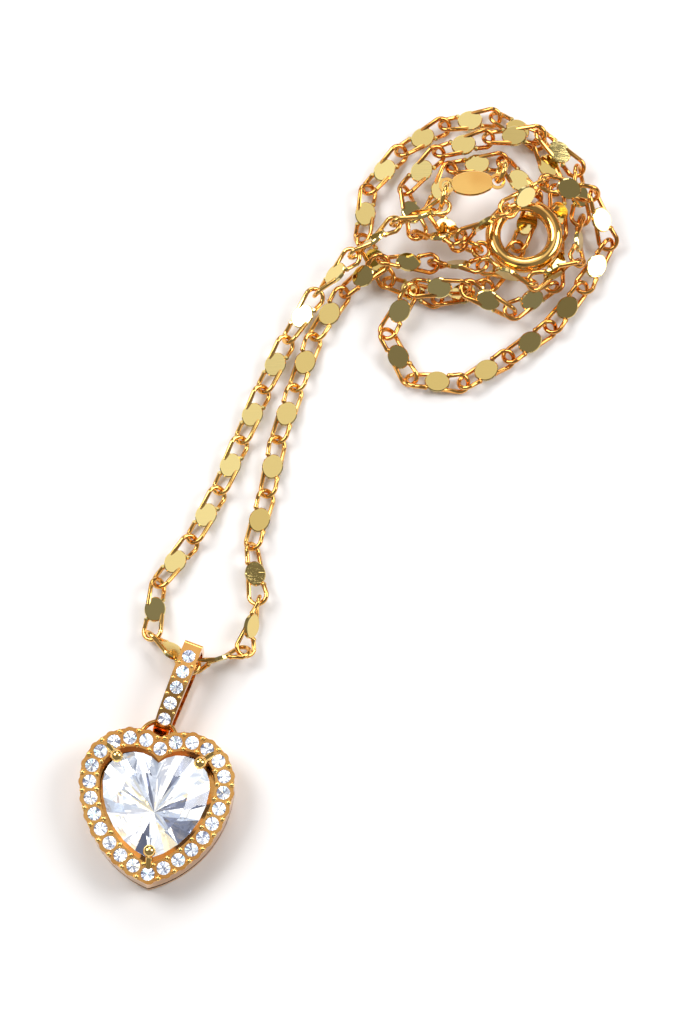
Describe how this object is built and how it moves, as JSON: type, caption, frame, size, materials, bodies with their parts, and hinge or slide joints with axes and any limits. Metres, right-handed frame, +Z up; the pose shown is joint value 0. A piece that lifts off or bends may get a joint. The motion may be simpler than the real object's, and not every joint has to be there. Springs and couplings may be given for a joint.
{
  "type": "pendant necklace",
  "caption": "Heart halo pendant with a heart-cut centre stone on a stone-set bail, hung on a flat mirror-link chain with spring ring clasp, lying flat.",
  "frame": {"origin": "on the table under the heart, a third of a millimetre to the left of its middle line", "axes": "+Z up from the table, +Y from the heart towards the heaped chain, +X to the right as seen from the heart's pointed end"},
  "size_m": [0.041, 0.0616, 0.0051],
  "materials": {
    "gold": "polished yellow-gold coloured metal",
    "gold_chain": "mirror-polished yellow-gold coloured metal, lightly scratched plates",
    "clear_stone": "clear faceted stone",
    "spring_steel": "drawn spring wire"
  },
  "bodies": {
    "heap": {"heap_links_01": "gold_chain", "heap_links_02": "gold_chain", "heap_links_03": "gold_chain", "heap_links_04": "gold_chain", "heap_links_05": "gold_chain", "heap_links_06": "gold_chain", "tag_end_links": "gold_chain", "left_link_8": "gold_chain", "right_link_8": "gold_chain"},
    "strand_step_7": {"left_link_7": "gold_chain", "right_link_7": "gold_chain"},
    "strand_step_6": {"left_link_6": "gold_chain", "right_link_6": "gold_chain"},
    "strand_step_5": {"left_link_5": "gold_chain", "right_link_5": "gold_chain"},
    "strand_step_4": {"left_link_4": "gold_chain", "right_link_4": "gold_chain"},
    "strand_step_3": {"left_link_3": "gold_chain", "right_link_3": "gold_chain"},
    "strand_step_2": {"left_link_2": "gold_chain", "right_link_2": "gold_chain"},
    "strand_step_1": {"left_link_1": "gold_chain", "right_link_1": "gold_chain"},
    "bail": {"bail": "gold", "bail_stones": "clear_stone", "bail_beads": "gold"},
    "heart": {"heart_frame": "gold", "gallery_rail": "gold", "prongs": "gold", "centre_stone": "clear_stone", "halo_stones": "clear_stone", "halo_beads": "gold", "hanging_ring": "gold"},
    "clasp_ring": {"clasp_ring": "gold"},
    "clasp": {"clasp_body": "gold", "clasp_eye": "gold", "clasp_spring": "spring_steel"},
    "clasp_bolt": {"clasp_bolt": "gold"},
    "tag_ring": {"tag_ring": "gold"},
    "end_tag": {"end_tag": "gold"},
    "end_ring": {"end_ring": "gold"}
  },
  "joints": [
    {"name": "strand_lift_7", "type": "hinge", "parent": "heap", "child": "strand_step_7", "pos_m": [0.01114, 0.0378, 0.00075], "axis": [-0.9836, -0.1411, 0.1127], "range_deg": [0, 12]},
    {"name": "strand_lift_6", "type": "hinge", "parent": "strand_step_7", "child": "strand_step_6", "pos_m": [0.0095, 0.03379, 0.00066], "axis": [-0.9981, -0.0579, 0.0201], "range_deg": [0, 12]},
    {"name": "strand_lift_5", "type": "hinge", "parent": "strand_step_6", "child": "strand_step_5", "pos_m": [0.00801, 0.02971, 0.00064], "axis": [-0.9999, -0.0112, 0.0034], "range_deg": [0, 12]},
    {"name": "strand_lift_4", "type": "hinge", "parent": "strand_step_5", "child": "strand_step_4", "pos_m": [0.00677, 0.02557, 0.00064], "axis": [-0.9981, 0.0614, 0.0014], "range_deg": [0, 12]},
    {"name": "strand_lift_3", "type": "hinge", "parent": "strand_step_4", "child": "strand_step_3", "pos_m": [0.00521, 0.02155, 0.00073], "axis": [-0.9922, 0.1224, -0.0242], "range_deg": [0, 12]},
    {"name": "strand_lift_2", "type": "hinge", "parent": "strand_step_3", "child": "strand_step_2", "pos_m": [0.00417, 0.01766, 0.00085], "axis": [-0.9838, 0.1784, -0.0198], "range_deg": [0, 12]},
    {"name": "strand_lift_1", "type": "hinge", "parent": "strand_step_2", "child": "strand_step_1", "pos_m": [0.00345, 0.0137, 0.00103], "axis": [-0.9838, 0.1787, -0.0107], "range_deg": [0, 12]},
    {"name": "bail_swing", "type": "hinge", "parent": "strand_step_1", "child": "bail", "pos_m": [0.00311, 0.01181, 0.00117], "axis": [-0.9348, 0.3551, 0], "range_deg": [0, 8]},
    {"name": "heart_swing", "type": "hinge", "parent": "bail", "child": "heart", "pos_m": [0.00102, 0.00748, 0.0015], "axis": [-0.9348, 0.3551, 0], "range_deg": [0, 30]},
    {"name": "clasp_ring_swing", "type": "hinge", "parent": "heap", "child": "clasp_ring", "pos_m": [0.0233, 0.04509, 0.00216], "axis": [0, 0, 1], "range_deg": [-2, 2]},
    {"name": "clasp_lift", "type": "hinge", "parent": "clasp_ring", "child": "clasp", "pos_m": [0.02501, 0.0444, 0.0023], "axis": [0.342, -0.9397, 0], "range_deg": [0, 2]},
    {"name": "bolt_travel", "type": "hinge", "parent": "clasp", "child": "clasp_bolt", "pos_m": [0.0283, 0.0456, 0.0023], "axis": [0, 0, -1], "range_deg": [0, 40], "stiffness_Nm_per_rad": 0.0008, "springref_deg": -28.65},
    {"name": "tag_ring_swing", "type": "hinge", "parent": "heap", "child": "tag_ring", "pos_m": [0.02191, 0.04749, 0.00356], "axis": [0, 0, 1], "range_deg": [-4, 4]},
    {"name": "tag_lift", "type": "hinge", "parent": "tag_ring", "child": "end_tag", "pos_m": [0.02236, 0.04923, 0.00355], "axis": [0.0872, -0.9962, 0], "range_deg": [0, 15]},
    {"name": "end_ring_swing", "type": "hinge", "parent": "end_tag", "child": "end_ring", "pos_m": [0.02624, 0.04957, 0.00355], "axis": [0.9308, -0.3657, 0], "range_deg": [0, 12]}
  ]
}
